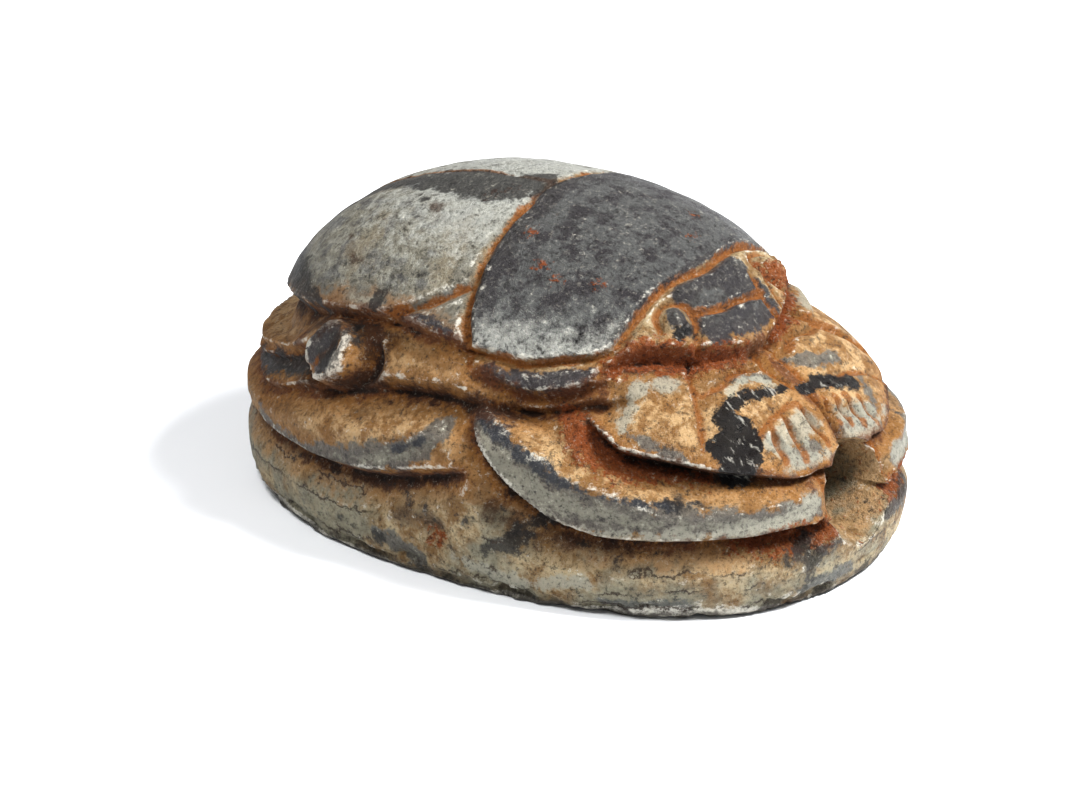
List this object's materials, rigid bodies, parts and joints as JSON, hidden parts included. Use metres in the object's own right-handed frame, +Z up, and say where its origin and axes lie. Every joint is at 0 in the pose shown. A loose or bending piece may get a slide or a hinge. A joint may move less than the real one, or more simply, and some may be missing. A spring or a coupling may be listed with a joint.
{
  "type": "scarab amulet",
  "caption": "Ancient steatite scarab amulet, a beetle carved in one piece with its oval plinth and pierced lengthwise for a string.",
  "frame": {"origin": "middle of the flat underside", "axes": "+Z up from the underside to the back, +Y from head to tail along the string hole, +X to the beetle's left"},
  "size_m": [0.017, 0.0239, 0.0115],
  "materials": {
    "steatite": "worn, partly polished carved stone with dirt in the cuts"
  },
  "bodies": {
    "root": {"scarab_amulet": "steatite"}
  },
  "joints": []
}
